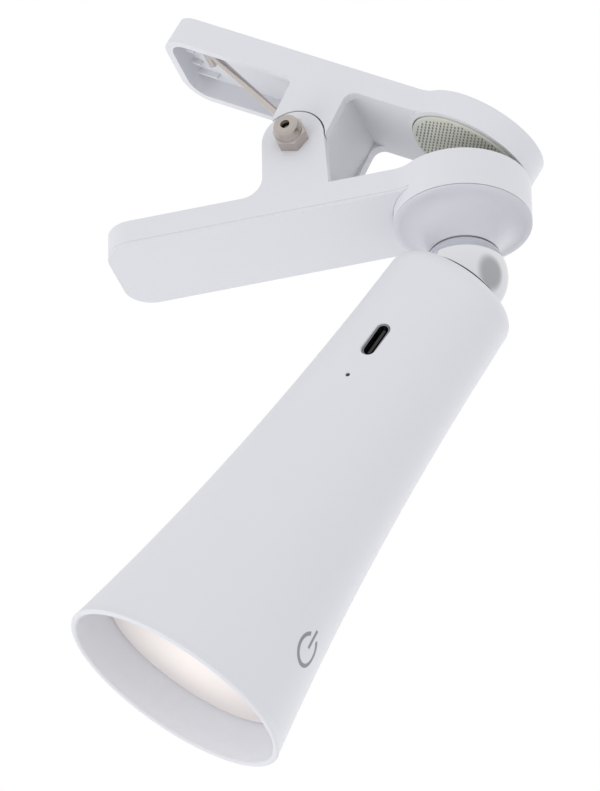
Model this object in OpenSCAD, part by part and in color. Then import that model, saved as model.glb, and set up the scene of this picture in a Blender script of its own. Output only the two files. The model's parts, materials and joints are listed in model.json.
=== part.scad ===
// Clip-on reading lamp: a spring clip with round rubber-faced jaws, a chromed ball joint and a
// rechargeable flared lamp head. Millimetres. +Z is the axis of the lower jaw disc and of the
// neck. The origin is the centre of the lower grip pad's top face. +X points to the jaw tip.

/* [Clip] */
// Width of both clip arms
arm_w = 24.4; // [22:0.1:26]
// Distance from the jaw disc's centre to the end of the lower handle
handle_len = 83.8; // [76:0.1:90]
// Distance from the hinge pin to the end of the upper handle
upper_handle = 47.3; // [42:0.1:48]
// Radius of the lower jaw disc
disc_r = 16; // [15.8:0.1:17]
// Radius of the upper jaw disc
upper_r = 16.2; // [15.8:0.1:16.3]
// Height of the lower jaw disc
disc_h = 10; // [9.8:0.1:10.5]
// Height of the lower arm's underside above the disc's underside
arm_lift = 3.3; // [3:0.1:3.5]
// Distance from the lower disc's axis back to the hinge pin
hinge_x = 36.9; // [36:0.1:38]
// Distance along the upper arm from the hinge pin to its disc's centre
upper_reach = 35.9; // [35:0.1:36]
// Height of the hinge pin above the lower disc's underside
hinge_h = 24.3; // [24.2:0.1:25]
// Downward tilt of the upper jaw when the clip is shut
jaw_tilt = 31.4; // [28:0.1:31.4]
// Radius of the rounded top of the hinge lugs
lug_r = 7.5; // [7.2:0.1:7.6]
// Diameter of the torsion spring's wire
wire_d = 1.8; // [1.4:0.1:1.8]

/* [Ball joint] */
// Diameter of the ball
ball_d = 20; // [19.6:0.1:20.2]
// Distance from the lower disc's underside to the ball's centre
ball_drop = 15.24; // [15:0.01:15.6]
// Radius of the neck's rim
neck_r = 8.1; // [8:0.1:8.6]
// Distance from the lower disc's underside to the neck's rim
neck_drop = 9.1; // [8.8:0.1:9.2]
// Tilt of the lamp head away from straight down
head_tilt = 35; // [0:1:40]
// Turn of the tilted lamp head about the neck
head_swivel = 2.9; // [-180:0.1:180]

/* [Lamp head] */
// Length of the lamp head
head_len = 118.4; // [114:0.1:122]
// Radius of the head's top before its edge is rounded
top_r = 15.58; // [15.4:0.01:16]
// Distance from the ball's centre to the head's flat top
top_drop = 3.15; // [3.1:0.01:3.4]
// Wall thickness of the head's shell
wall = 1.6; // [1.4:0.1:1.8]
// Recess of the diffuser inside the mouth
diffuser_recess = 9.6; // [9:0.1:13]
// Distance from the head's top to the middle of the charging slot
usb_s = 27.3; // [26:0.1:29]
// Distance from the head's top to the charging light
light_s = 38.5; // [37:0.1:42]
// Distance from the mouth to the middle of the touch mark
mark_up = 21; // [18:0.1:24]
// Turn of the touch mark about the head's axis, towards the charging slot
mark_turn = 6.8; // [0:0.1:20]

/* [Hidden] */
$fn = 96;

pad_r = 14.6;
pad_t = 2;
pad_proud = 0.6;
pad_gap = 0.3;
z_top = -pad_proud;
z_bot = z_top - disc_h;
z_under = z_bot + arm_lift;
pin_x = -hinge_x;
pin_z = z_bot + hinge_h;
skin = 2.2;
cover_t = 0.8;
half_w = arm_w / 2;
fillet_r = 8;

// Across the hinge, all measured from the middle plane
lug_in = half_w - 2.6;
ear_out = lug_in - 0.3;
ear_in = ear_out - 2.2;
coil_y = ear_in - 1.2;
bolt_r = 2;
run_gap = 0.05;
coil_r = 3.4;
bend_r = 1.4;
lug_foot = 1;

// Heights above the pin, square to the upper arm
roof_h = 22.1;
roof_in = roof_h - skin;
edge_h = 15;
slab_h = 16.2;
disc_under = 15.6;

// Distances along the upper arm from the pin: the block's back and jaw edges, and the web
block_back = -8.8;
block_foot = 7.3;
block_top = 6.2;
web_u = 4.6;
web_t = 1.3;
handle_wall = 2;
leg_u = 38.8;

ball_r = ball_d / 2;
ball_z = z_bot - ball_drop;
ball_gap = 0.3;
stud_r = 2.5;
boss_z = z_bot + 1.8;

function head_r(s) = let (t = s / head_len) top_r + 3.94 * t + 6.56 * t * t + 1.75 * t * t * t;
cup_r = 11.5;
lip_r = 10.6;
lip_h = 1.1;
edge_r = 4;
plate_t = 2.6;
cell_r = 9.1;
cell_y = 2.6;
cell_s = 24;
cell_len = 65;
board_y = -8.2;
board_t = 1;
led_s = head_len - diffuser_recess - 11;
diffuser_s = head_len - diffuser_recess;

WHITE = [0.9, 0.91, 0.93];
STEEL = [0.72, 0.72, 0.74];
SAGE = [0.74, 0.75, 0.7];

// A prism whose 2D shape lies in the X-Z plane, from y0 to y1
module across(y0, y1) {
    translate([0, y1, 0])
        rotate([90, 0, 0])
            linear_extrude(y1 - y0)
                children();
}

// The same prism on both sides of the middle plane
module both_sides(y0, y1) {
    across(y0, y1) children();
    across(-y1, -y0) children();
}

// The upper arm's own axes: X along the arm to the jaw, Z square to it, origin on the pin
module arm_axes() {
    translate([pin_x, 0, pin_z])
        rotate([0, jaw_tilt, 0])
            children();
}

// The lamp head's own axes: origin at the ball's centre, -Z along the head to its mouth
module head_axes() {
    translate([0, 0, ball_z])
        rotate([0, 0, head_swivel])
            rotate([0, head_tilt, 0])
                children();
}

// A rod or tube between two heights, measured down the head from its flat top
module at_s(s) {
    translate([0, 0, -top_drop - s]) children();
}

// Outline of an arm seen from above: a handle with round corners that runs into a round disc
module arm_plan(x_end, x_disc, inset = 0, corner = 6.7, r = disc_r) {
    w = half_w - inset;
    c = corner - inset;
    reach = sqrt((r + fillet_r) * (r + fillet_r)
        - (half_w + fillet_r) * (half_w + fillet_r));
    k = r / (r + fillet_r);
    translate([x_end + inset + c, -w])
        square([x_disc - x_end - inset - c, 2 * w]);
    translate([x_end + inset, -w + c])
        square([c + 1, 2 * (w - c)]);
    for (m = [-1, 1])
        translate([x_end + inset + c, m * (w - c)])
            circle(c);
    translate([x_disc, 0])
        circle(r - inset);
    if (inset == 0)
        for (m = [0, 1])
            mirror([0, m])
                difference() {
                    polygon([
                        [x_disc - reach, half_w], [x_disc - reach, 0], [x_disc, 0],
                        [x_disc - reach * k, (half_w + fillet_r) * k]
                    ]);
                    translate([x_disc - reach, half_w + fillet_r])
                        circle(fillet_r);
                }
}

// A patch that fills an inside corner with a round of radius r, drawn in the corner at the origin
module corner_fill(r) {
    difference() {
        translate([-0.2, -0.2])
            square(r + 0.2);
        translate([r, r])
            circle(r);
    }
}

// Lug outline in the X-Z plane, a little wider at its foot on the jaw side
module lug_plan() {
    translate([pin_x, pin_z])
        circle(lug_r);
    polygon([
        [pin_x - lug_r, z_top - 1], [pin_x - lug_r, pin_z],
        [pin_x + lug_r, pin_z], [pin_x + lug_r + lug_foot, z_top - 1]
    ]);
}

// A rod of round section along a path that never runs the same way as the reference direction
function unit(v) = v / norm(v);
function path_dir(p, i) = unit(p[min(i + 1, len(p) - 1)] - p[max(i - 1, 0)]);
module wire(p, r, ref = [0, 1, 0], sides = 8) {
    n = len(p);
    pts = [
        for (i = [0:n - 1])
            let (
                t = path_dir(p, i),
                a = unit(cross(ref, t)),
                b = cross(t, a)
            )
                for (k = [0:sides - 1])
                    p[i] + r * (cos(360 * k / sides) * a + sin(360 * k / sides) * b)
    ];
    faces = concat(
        [[for (k = [0:sides - 1]) k]],
        [[for (k = [sides - 1:-1:0]) (n - 1) * sides + k]],
        [
            for (i = [0:n - 2], k = [0:sides - 1])
                [
                    i * sides + k, (i + 1) * sides + k,
                    (i + 1) * sides + (k + 1) % sides, i * sides + (k + 1) % sides
                ]
        ]
    );
    polyhedron(pts, faces, convexity = 6);
}

// Screw with a round countersunk head, pointing down from its head's top face
module screw(head_r, shank_r, length) {
    difference() {
        union() {
            translate([0, 0, -1.2])
                cylinder(h = 1.2, r1 = shank_r, r2 = head_r);
            translate([0, 0, -length])
                cylinder(h = length - 1.1, r = shank_r);
        }
        for (a = [0, 90])
            rotate([0, 0, a])
                translate([-head_r * 0.6, -0.2, -0.6])
                    cube([head_r * 1.2, 0.4, 1]);
    }
}

module lower_arm() {
    color(WHITE)
        difference() {
            union() {
                translate([0, 0, z_under + cover_t])
                    linear_extrude(z_top - z_under - cover_t)
                        arm_plan(-handle_len, 0);
                translate([0, 0, z_bot])
                    cylinder(h = disc_h, r = disc_r);
                both_sides(lug_in, half_w)
                    lug_plan();
                both_sides(lug_in, half_w)
                    translate([pin_x - lug_r, z_top])
                        mirror([1, 0])
                            corner_fill(5);
            }
            // hollow of the handle, open below
            translate([0, 0, z_under - 1])
                linear_extrude(z_top - skin - z_under + 1)
                    difference() {
                        arm_plan(-handle_len, 0, 2);
                        translate([-15, -20])
                            square([40, 40]);
                    }
            // hollow of the disc, open below
            translate([0, 0, z_bot - 1])
                cylinder(h = disc_h - pad_t - 2 + pad_proud + 1, r = disc_r - 2.2);
            // seat of the grip pad
            translate([0, 0, -pad_t])
                cylinder(h = pad_t, r = pad_r + pad_gap);
            for (a = [60, 180, 300])
                rotate([0, 0, a])
                    translate([10.5, 0, -pad_t - 3]) {
                        cylinder(h = 4, r = 1.2);
                        translate([0, 0, 1.7])
                            cylinder(h = 1.4, r1 = 1.1, r2 = 2.4);
                    }
            // pin holes
            across(-half_w - 1, half_w + 1)
                translate([pin_x, pin_z])
                    circle(bolt_r + run_gap);
        }
}

module arm_cover() {
    color(WHITE)
        difference() {
            union() {
                translate([0, 0, z_under])
                    linear_extrude(cover_t - 0.05)
                        arm_plan(-handle_len, 0);
                translate([0, 0, z_under])
                    linear_extrude(cover_t + 1.2)
                        difference() {
                            arm_plan(-handle_len, 0, 2.2);
                            arm_plan(-handle_len, 0, 3.4);
                        }
                // snap posts that stand in the handle's hollow
                for (x = [-74, -50, -27], m = [-1, 1])
                    translate([x - 1.5, m * (half_w - 3.6) - 0.6, z_under])
                        cube([3, 1.2, 4]);
            }
            translate([0, 0, z_under - 1])
                cylinder(h = 6, r = disc_r + 0.05);
            translate([-15.5, -20, z_under + cover_t])
                cube([40, 40, 5]);
        }
}

module neck() {
    steps = 14;
    a = disc_r - 0.8 - neck_r;
    color(WHITE)
        difference() {
            union() {
                rotate_extrude()
                    polygon(concat(
                        [[0, z_bot - 0.05], [disc_r - 0.3, z_bot - 0.05], [disc_r, z_bot - 0.35]],
                        [
                            for (i = [0:steps])
                                let (q = 90 * i / steps)
                                    [disc_r - 0.8 - a * sin(q),
                                    z_bot - neck_drop + (neck_drop - 0.9) * cos(q)]
                        ],
                        [[0, z_bot - neck_drop]]
                    ));
                // spigot that centres the neck in the disc, and the stud's boss
                translate([0, 0, z_bot - 0.5])
                    difference() {
                        cylinder(h = 2, r = disc_r - 2.3);
                        translate([0, 0, -1])
                            cylinder(h = 4, r = disc_r - 3.8);
                    }
                translate([0, 0, z_bot - 0.5])
                    cylinder(h = boss_z - z_bot + 0.5, r = 6);
                for (s = [60, 180, 300])
                    rotate([0, 0, s])
                        translate([10.5, 0, z_bot - 0.5])
                            cylinder(h = disc_h - 4.1 + pad_proud + 0.5 - 0.1, r = 2.6);
            }
            translate([0, 0, ball_z])
                sphere(ball_r + ball_gap);
            translate([0, 0, ball_z])
                cylinder(h = 30, r = stud_r + run_gap);
            for (s = [60, 180, 300])
                rotate([0, 0, s])
                    translate([10.5, 0, z_bot - 0.4])
                        cylinder(h = 10, r = 1.05);
            // weight-saving groove behind the flare
            translate([0, 0, z_bot - 2.2])
                difference() {
                    cylinder(h = 2.3, r = 7.6);
                    translate([0, 0, -1])
                        cylinder(h = 5, r = 6);
                }
        }
}

module neck_screws() {
    color(STEEL)
        for (a = [60, 180, 300])
            rotate([0, 0, a])
                translate([10.5, 0, -pad_t - 0.1])
                    screw(2.2, 1, 7.5);
}

module grip_pad_shape() {
    cylinder(h = pad_t - 0.3, r = pad_r);
    translate([0, 0, pad_t - 0.3])
        cylinder(h = 0.3, r1 = pad_r, r2 = pad_r - 0.3);
}

module lower_grip_pad() {
    color(SAGE)
        translate([0, 0, -pad_t])
            grip_pad_shape();
}

module hinge_bolt() {
    color(STEEL)
        translate([pin_x, 0, pin_z])
            rotate([90, 0, 0]) {
                translate([0, 0, -half_w - 0.6])
                    cylinder(h = 2 * half_w + 5, r = bolt_r);
                difference() {
                    translate([0, 0, -half_w - 3])
                        union() {
                            cylinder(h = 1.2, r1 = 2.8, r2 = 3.7);
                            translate([0, 0, 1.2])
                                cylinder(h = 1.2, r = 3.7);
                        }
                    translate([0, 0, -half_w - 3.1])
                        cylinder(h = 1.4, r = 1.5, $fn = 6);
                }
            }
}

module bolt_washer() {
    color(STEEL)
        translate([pin_x, half_w, pin_z])
            rotate([-90, 0, 0])
                difference() {
                    translate([0, 0, 0.02])
                        cylinder(h = 0.55, r = 4.2);
                    translate([0, 0, -1])
                        cylinder(h = 3, r = bolt_r + run_gap);
                }
}

module hinge_nut() {
    nut_turn = 12.8;
    color(STEEL)
        translate([pin_x, -half_w - 0.02, pin_z])
            rotate([90, 0, 0])
                difference() {
                    union() {
                        intersection() {
                            rotate([0, 0, -nut_turn])
                                cylinder(h = 3.2, r = 7 / sqrt(3), $fn = 6);
                            union() {
                                cylinder(h = 2.7, r = 4.2);
                                translate([0, 0, 2.7])
                                    cylinder(h = 0.5, r1 = 4.2, r2 = 3.4);
                            }
                        }
                        translate([0, 0, 3.1])
                            cylinder(h = 1.9, r1 = 3.3, r2 = 3.1);
                        translate([0, 0, 5])
                            cylinder(h = 0.6, r1 = 3.1, r2 = 2.9);
                        translate([0, 0, 5.6])
                            cylinder(h = 0.4, r1 = 2.9, r2 = 2.3);
                    }
                    translate([0, 0, -1])
                        cylinder(h = 6, r = bolt_r + 0.01);
                    translate([0, 0, 4.9])
                        cylinder(h = 3, r = 1.1);
                }
}

module spring_sleeve() {
    color([0.3, 0.3, 0.32])
        translate([pin_x, 0, pin_z])
            rotate([90, 0, 0])
                difference() {
                    cylinder(h = 2 * (ear_in - 0.3), r = 2.4, center = true);
                    cylinder(h = 40, r = bolt_r + run_gap, center = true);
                }
}

// The coil about the pin and the leg that bears on the lower arm
// Points of a bend that leaves the direction `along` and ends in a straight piece along `side`
function bent_end(tip, along, side, bend, length) = concat(
    [
        for (q = [0:15:90])
            tip - bend * along + bend * side - bend * cos(q) * side + bend * sin(q) * along
    ],
    [tip + length * side]
);

module torsion_spring() {
    per = 20;
    slope = 24;
    y_end = -coil_y + wire_d + 0.4;
    n = 5 * per;
    q0 = slope - 90;
    q_last = 360 * 5 - 60 - jaw_tilt;
    coil = [
        for (i = [0:n])
            let (q = q0 + (q_last - q0) * i / n)
                [coil_r * cos(q), coil_y + (y_end - coil_y) * i / n, coil_r * sin(q)]
    ];
    leg_len = (pin_z - z_top - wire_d / 2 - 0.1 - coil_r * cos(slope)) / sin(slope);
    along = -[cos(slope), 0, sin(slope)];
    tip = coil[0] + leg_len * along;
    foot = bent_end(tip, along, [0, -1, 0], bend_r, 6);
    last = len(foot) - 1;
    path = concat([for (i = [0:last]) foot[last - i]], coil);
    color(STEEL)
        translate([pin_x, 0, pin_z])
            wire(path, wire_d / 2, [0.35, 1, -0.2]);
}

// Outline of the upper arm in its own axes
module upper_plan(inset = 0) {
    arm_plan(-upper_handle, upper_reach, inset, r = upper_r);
}

module upper_arm() {
    color(WHITE)
        arm_axes()
            difference() {
                union() {
                    // handle, slab and disc
                    difference() {
                        translate([0, 0, edge_h])
                            linear_extrude(roof_h - edge_h)
                                intersection() {
                                    upper_plan();
                                    translate([-60, -30])
                                        square([55, 60]);
                                }
                        translate([0, 0, edge_h - 1])
                            linear_extrude(roof_in - edge_h + 1)
                                upper_plan(handle_wall);
                    }
                    translate([0, 0, roof_in])
                        linear_extrude(skin)
                            upper_plan();
                    translate([0, 0, slab_h])
                        linear_extrude(roof_h - slab_h)
                            intersection() {
                                upper_plan();
                                translate([web_u, -30])
                                    square([60, 60]);
                            }
                    translate([upper_reach, 0, disc_under])
                        cylinder(h = roof_h - disc_under, r = upper_r);
                    // outer side walls of the hinge block, cut round the lugs
                    both_sides(half_w - 2.4, half_w)
                        block_plan();
                    // inner ears and the web that joins them
                    both_sides(ear_in, ear_out)
                        ear_plan();
                    both_sides(ear_in, half_w - 1)
                        intersection() {
                            ear_plan();
                            block_plan();
                        }
                    across(-ear_out, ear_out)
                        translate([web_u, -4])
                            square([web_t, roof_in + 4.5]);
                    across(-half_w + 1, half_w - 1)
                        translate([web_u, 9.2])
                            square([web_t, 11]);
                    // ribs that locate the spring's end
                    for (rib = [[-2.2, 2.4], [3, 2.4], [7, 5.8]])
                        translate([-upper_handle + handle_wall - 0.1, rib[0] - 0.4, roof_in - 1.3])
                            cube([rib[1], 0.8, 1.5]);
                }
                // seat of the grip pad
                translate([upper_reach, 0, disc_under - 1])
                    cylinder(h = pad_t - pad_proud + 1, r = pad_r + pad_gap);
                // pin holes
                across(-ear_out - 1, ear_out + 1)
                    circle(bolt_r + run_gap);
            }
}

module block_plan() {
    difference() {
        union() {
            polygon([
                [block_back, roof_in + 1], [block_back, edge_h], [block_back + 1.1, 3], [0, 0],
                [block_foot, 0], [block_top, slab_h - 3], [block_top, roof_in + 1]
            ]);
            translate([block_top, slab_h])
                mirror([0, 1])
                    corner_fill(2.6);
            translate([block_back, edge_h])
                mirror([1, 0])
                    mirror([0, 1])
                        corner_fill(1.8);
        }
        circle(lug_r + 0.35);
        rotate(jaw_tilt)
            translate([-lug_r - 0.3, -30])
                square([2 * (lug_r + 0.3), 30]);
    }
}

module ear_plan() {
    circle(6.4);
    polygon([
        [-6.4, 0], [web_u + web_t, 0], [web_u + web_t, roof_in + 0.5], [-7.4, roof_in + 0.5]
    ]);
    translate([web_u, -4])
        square([web_t, 5]);
}

module upper_grip_pad() {
    color(SAGE)
        arm_axes()
            translate([upper_reach, 0, disc_under + pad_t - pad_proud])
                mirror([0, 0, 1])
                    grip_pad_shape();
}

// The spring's other leg, which turns with the upper arm and bears on its roof
module spring_leg() {
    rise = roof_in - wire_d / 2 - 0.05;
    q1 = atan2(rise, -leg_u) - acos(coil_r / norm([leg_u, rise]));
    arc = [
        for (q = [-60:(q1 + 60) / 9:q1 + 0.01])
            [coil_r * cos(q), -coil_y, coil_r * sin(q)]
    ];
    tip = [-leg_u, -coil_y, rise];
    last = arc[len(arc) - 1];
    end = bent_end(tip, unit(tip - last), [0, 1, 0], bend_r, 7.2);
    color(STEEL)
        arm_axes()
            wire(concat(arc, end), wire_d / 2, [0.35, 1, -0.2]);
}

module pivot_ball() {
    color([0.85, 0.86, 0.88])
        translate([0, 0, ball_z])
            difference() {
                sphere(ball_r);
                translate([0, 0, ball_r - 5.5])
                    cylinder(h = 10, r = stud_r + 0.01);
            }
}

module ball_stud() {
    color(STEEL)
        translate([0, 0, ball_z + ball_r - 5.5])
            cylinder(h = boss_z + 4.2 - (ball_z + ball_r - 5.5), r = stud_r);
}

module stud_washer() {
    color(STEEL)
        translate([0, 0, boss_z + 0.3])
            difference() {
                cylinder(h = 0.5, r = 5);
                translate([0, 0, -1])
                    cylinder(h = 3, r = stud_r + run_gap);
            }
}

module stud_nut() {
    color(STEEL)
        translate([0, 0, boss_z + 0.85])
            difference() {
                cylinder(h = 3.3, r = 8 / sqrt(3), $fn = 6);
                translate([0, 0, -1])
                    cylinder(h = 6, r = stud_r + 0.01);
            }
}

// Socket that sits in the head's top and turns in it
module socket_cup() {
    color([0.25, 0.25, 0.27])
        head_axes()
            difference() {
                union() {
                    at_s(9)
                        cylinder(h = 8.9, r = cup_r);
                    at_s(9)
                        cylinder(h = 5.9, r = cup_r + 1.4);
                    // thin lip that stands round the ball above the head's top
                    at_s(0.2)
                        cylinder(h = lip_h + 0.2, r = lip_r);
                }
                sphere(ball_r + ball_gap);
                at_s(10)
                    cylinder(h = 8, r = 0.01 + ball_r - 4.2, $fn = 96);
            }
}

module socket_magnet() {
    color(STEEL)
        head_axes()
            at_s(13)
                difference() {
                    union() {
                        cylinder(h = 3.95, r = 9);
                        cylinder(h = 5.4, r = ball_r - 4.3);
                    }
                    translate([0, 0, top_drop + 13])
                        sphere(ball_r + ball_gap);
                }
}

// Solid of the head's outer form, drawn in by inset
module head_form(inset, s0, s1, steps = 24) {
    rotate_extrude()
        polygon(concat(
            [[0, -top_drop - s0]],
            [
                for (i = [0:steps])
                    let (s = s0 + (s1 - s0) * i / steps)
                        [head_r(s) - inset, -top_drop - s]
            ],
            [[0, -top_drop - s1]]
        ));
}

// Outer form with its rounded top edge
module head_body() {
    steps = 24;
    rotate_extrude()
        polygon(concat(
            [[0, -top_drop]],
            [
                for (q = [0:15:75])
                    [head_r(edge_r) - edge_r + edge_r * sin(q),
                    -top_drop - edge_r + edge_r * cos(q)]
            ],
            [
                for (i = [0:steps])
                    let (s = edge_r + (head_len - edge_r) * i / steps)
                        [head_r(s), -top_drop - s]
            ],
            [[0, -top_drop - head_len]]
        ));
}

// A slot with round ends, long side along the head, pointing along -Y
module usb_prism(length, width, y0, y1) {
    at_s(usb_s)
        across(y0, y1)
            union() {
                square([width, length - width], center = true);
                for (m = [-1, 1])
                    translate([0, m * (length - width) / 2])
                        circle(width / 2);
            }
}

// The touch mark as a flat 2D shape: a broken ring and a bar
module mark_plan(grow = 0) {
    difference() {
        circle(4.1 + grow);
        circle(3.1 - grow);
        polygon([[0, 0], [-3.1 + grow, 6], [3.1 - grow, 6]]);
    }
    translate([-0.5 - grow, 0.4 - grow])
        square([1 + 2 * grow, 4.8 + 2 * grow]);
}

// A prism of the mark, pointing out from the head's axis
module mark_prism(grow = 0) {
    at_s(head_len - mark_up)
        rotate([90, 0, 90 - mark_turn])
            linear_extrude(40)
                mark_plan(grow);
}

module head_shell() {
    color(WHITE)
        head_axes()
            difference() {
                head_body();
                difference() {
                    head_form(wall, plate_t, head_len + 0.01);
                    // bosses for the chassis screws, each on a rib from the wall
                    for (m = [0, 1])
                        mirror([m, 0, 0])
                            at_s(80) {
                                translate([14.6, 0, 0])
                                    cylinder(h = 6, r = 2.4);
                                translate([14.6, -1.2, 0])
                                    cube([8, 2.4, 6]);
                            }
                }
                head_form(wall, head_len - 1, head_len + 1, 2);
                translate([0, 0, -top_drop - 8])
                    cylinder(h = 10, r = cup_r + 0.08);
                for (x = [-1, 1])
                    at_s(81)
                        translate([x * 14.6, 0, -2])
                            cylinder(h = 6, r = 0.85);
                usb_prism(9.3, 3.5, -25, -10);
                at_s(light_s)
                    across(-25, -10)
                        circle(0.55);
                intersection() {
                    mark_prism(0.05);
                    difference() {
                        head_form(-1, head_len - mark_up - 8, head_len - mark_up + 8, 12);
                        head_form(0.4, head_len - mark_up - 9, head_len - mark_up + 9, 12);
                    }
                }
            }
}

// Ring that keeps the socket in the head's top
module retaining_ring() {
    color([0.8, 0.8, 0.8])
        head_axes()
            difference() {
                union() {
                    at_s(12.4)
                        cylinder(h = 3.1, r = 13.8);
                    at_s(12.4)
                        difference() {
                            cylinder(h = 9.7, r = 13.8);
                            translate([0, 0, -1])
                                cylinder(h = 12, r = cup_r + 1.7);
                        }
                }
                at_s(20)
                    cylinder(h = 20, r = 9.3);
            }
}

// Frame that holds the cell and the board
module chassis() {
    color([0.86, 0.86, 0.84])
        head_axes()
            difference() {
                union() {
                    for (s = [20, 89.5])
                        at_s(s)
                            cylinder(h = 2, r = head_r(s - 2) - wall - 0.25);
                    for (x = [-1, 1])
                        at_s(88)
                            translate([x * 10.6 - 1, -7, 0])
                                cube([2, 14, 69]);
                    for (x = [-1, 1])
                        at_s(88)
                            translate([x * 14.6, 0, 0])
                                cylinder(h = 7.9, r = 2.4);
                    for (x = [-1, 1])
                        at_s(88)
                            translate([x * 12.6 - 2, -1, 0])
                                cube([4, 2, 7.9]);
                }
                // openings for the cell, the board and the wires
                at_s(100)
                    translate([0, cell_y, 0])
                        cylinder(h = 90, r = cell_r + 0.35);
                at_s(100)
                    translate([-8.2, -9.4, 0])
                        cube([16.4, 3.4, 90]);
                for (x = [-1, 1])
                    at_s(100)
                        translate([x * 14.6, 0, 0])
                            cylinder(h = 30, r = 0.85);
                at_s(100)
                    translate([-4, -13.5, 0])
                        cube([8, 5, 20]);
            }
}

module chassis_screws() {
    color(STEEL)
        head_axes()
            for (x = [-1, 1])
                at_s(89.55)
                    translate([x * 14.6, 0, 0])
                        mirror([0, 0, 1]) {
                            cylinder(h = 1.1, r = 1.7);
                            translate([0, 0, -11])
                                cylinder(h = 11.5, r = 0.8);
                        }
}

module battery_cell() {
    color([0.6, 0.65, 0.7])
        head_axes()
            at_s(cell_s + cell_len)
                translate([0, cell_y, 0]) {
                    cylinder(h = cell_len - 1, r = cell_r - 0.3);
                    translate([0, 0, cell_len - 1])
                        cylinder(h = 1, r = 3);
                }
}

// Heat-shrink skin of the cell
module battery_sleeve() {
    color([0.25, 0.4, 0.6])
        head_axes()
            at_s(cell_s + cell_len - 0.6)
                translate([0, cell_y, 0])
                    difference() {
                        cylinder(h = cell_len - 1.8, r = cell_r);
                        translate([0, 0, -1])
                            cylinder(h = cell_len + 2, r = cell_r - 0.28);
                    }
}

module battery_tabs() {
    color(STEEL)
        head_axes() {
            at_s(cell_s - 0.02)
                translate([-2, cell_y - 10, 0])
                    cube([4, 12, 0.2]);
            at_s(cell_s + cell_len + 0.22)
                translate([-2, cell_y - 10, 0])
                    cube([4, 12, 0.2]);
        }
}

module main_board() {
    color([0.1, 0.35, 0.2])
        head_axes()
            at_s(72)
                translate([-8, board_y - board_t / 2, 0])
                    cube([16, board_t, 50]);
}

module board_parts() {
    face = board_y - board_t / 2 - 0.01;
    color([0.15, 0.15, 0.16])
        head_axes()
            for (p = [[0, 45, 4, 4, 0.9], [4.6, 52, 3, 3, 1.6], [-4, 53, 5, 4, 1.2],
                    [-5.4, 62, 2, 1.2, 0.6], [0, 62, 2, 1.2, 0.6], [5.4, 62, 2, 1.2, 0.6],
                    [5.6, 43, 1.6, 2.6, 0.8], [-5.6, 43, 1.6, 2.6, 0.8]])
                at_s(p[1])
                    translate([p[0] - p[2] / 2, face - p[4], -p[3] / 2])
                        cube([p[2], p[4], p[3]]);
}

module usb_socket() {
    front = -head_r(usb_s) + 0.7;
    color(STEEL)
        head_axes()
            difference() {
                usb_prism(8.94, 3.2, front, board_y - board_t / 2 - 0.02);
                usb_prism(8.34, 2.6, front - 1, board_y - board_t / 2 - 1);
            }
}

module usb_tongue() {
    front = -head_r(usb_s) + 1.5;
    color([0.1, 0.1, 0.1])
        head_axes()
            at_s(usb_s)
                translate([-0.35, front, -3.35])
                    cube([0.7, -front + board_y - board_t / 2 - 1.02, 6.7]);
}

module charge_light() {
    front = -head_r(light_s) + 0.5;
    color([0.35, 0.36, 0.38])
        head_axes()
            at_s(light_s)
                across(front, board_y - board_t / 2 - 0.02)
                    circle(0.5);
}

// Sensing foil on the inside of the shell, behind the touch mark
module touch_foil() {
    s = head_len - mark_up;
    color([0.75, 0.5, 0.3])
        head_axes()
            intersection() {
                difference() {
                    head_form(wall + 0.05, s - 8, s + 8, 8);
                    head_form(wall + 0.2, s - 9, s + 9, 8);
                }
                at_s(s)
                    rotate([0, 90, -mark_turn])
                        cylinder(h = 40, r = 5.6);
            }
}

module power_mark() {
    color([0.55, 0.56, 0.58])
        head_axes()
            intersection() {
                mark_prism();
                difference() {
                    head_form(0, head_len - mark_up - 7, head_len - mark_up + 7, 12);
                    head_form(0.35, head_len - mark_up - 8, head_len - mark_up + 8, 12);
                }
            }
}

module heat_spreader() {
    color([0.7, 0.71, 0.73])
        head_axes()
            at_s(led_s)
                difference() {
                    cylinder(h = 1.5, r = head_r(led_s - 1.5) - wall - 0.4);
                    for (x = [-1, 1])
                        translate([x * 3, -9.35, -1])
                            cylinder(h = 5, r = 1);
                }
}

module led_board() {
    color([0.92, 0.92, 0.9])
        head_axes()
            at_s(led_s + 1.05)
                cylinder(h = 1, r = 19);
}

module leds() {
    color([1, 0.9, 0.6])
        head_axes() {
            for (i = [0:11])
                rotate([0, 0, 30 * i])
                    at_s(led_s + 1.85)
                        translate([13, -1.4, 0])
                            cube([3.5, 2.8, 0.75]);
            for (i = [0:5])
                rotate([0, 0, 60 * i])
                    at_s(led_s + 1.85)
                        translate([4.5, -1.4, 0])
                            cube([3.5, 2.8, 0.75]);
        }
}

// White cup that throws the light forwards and carries the diffuser
module reflector() {
    s0 = led_s + 0.9;
    s1 = diffuser_s - 2.1;
    color([0.95, 0.95, 0.95])
        head_axes()
            difference() {
                intersection() {
                    head_form(wall + 0.2, s0, s1, 6);
                    at_s(s1)
                        cylinder(h = s1 - s0, r = 40);
                }
                translate([0, 0, -top_drop - s1 - 0.01])
                    cylinder(h = s1 - s0 - 1 + 0.02, r1 = head_r(s1) - wall - 1.4, r2 = 19.6);
                translate([0, 0, -top_drop - s1])
                    cylinder(h = 20, r = 19.2);
            }
}

module diffuser() {
    rim = head_r(diffuser_s - 2) - wall - 0.15;
    color([1, 0.97, 0.88])
        head_axes()
            at_s(diffuser_s)
                rotate_extrude()
                    polygon(concat(
                        [[0, 2], [rim, 2], [rim, 0]],
                        [
                            for (i = [0:8])
                                let (q = (8 - i) / 8)
                                    [22 * q, -1.4 * (1 - q * q)]
                        ]
                    ));
}

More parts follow.
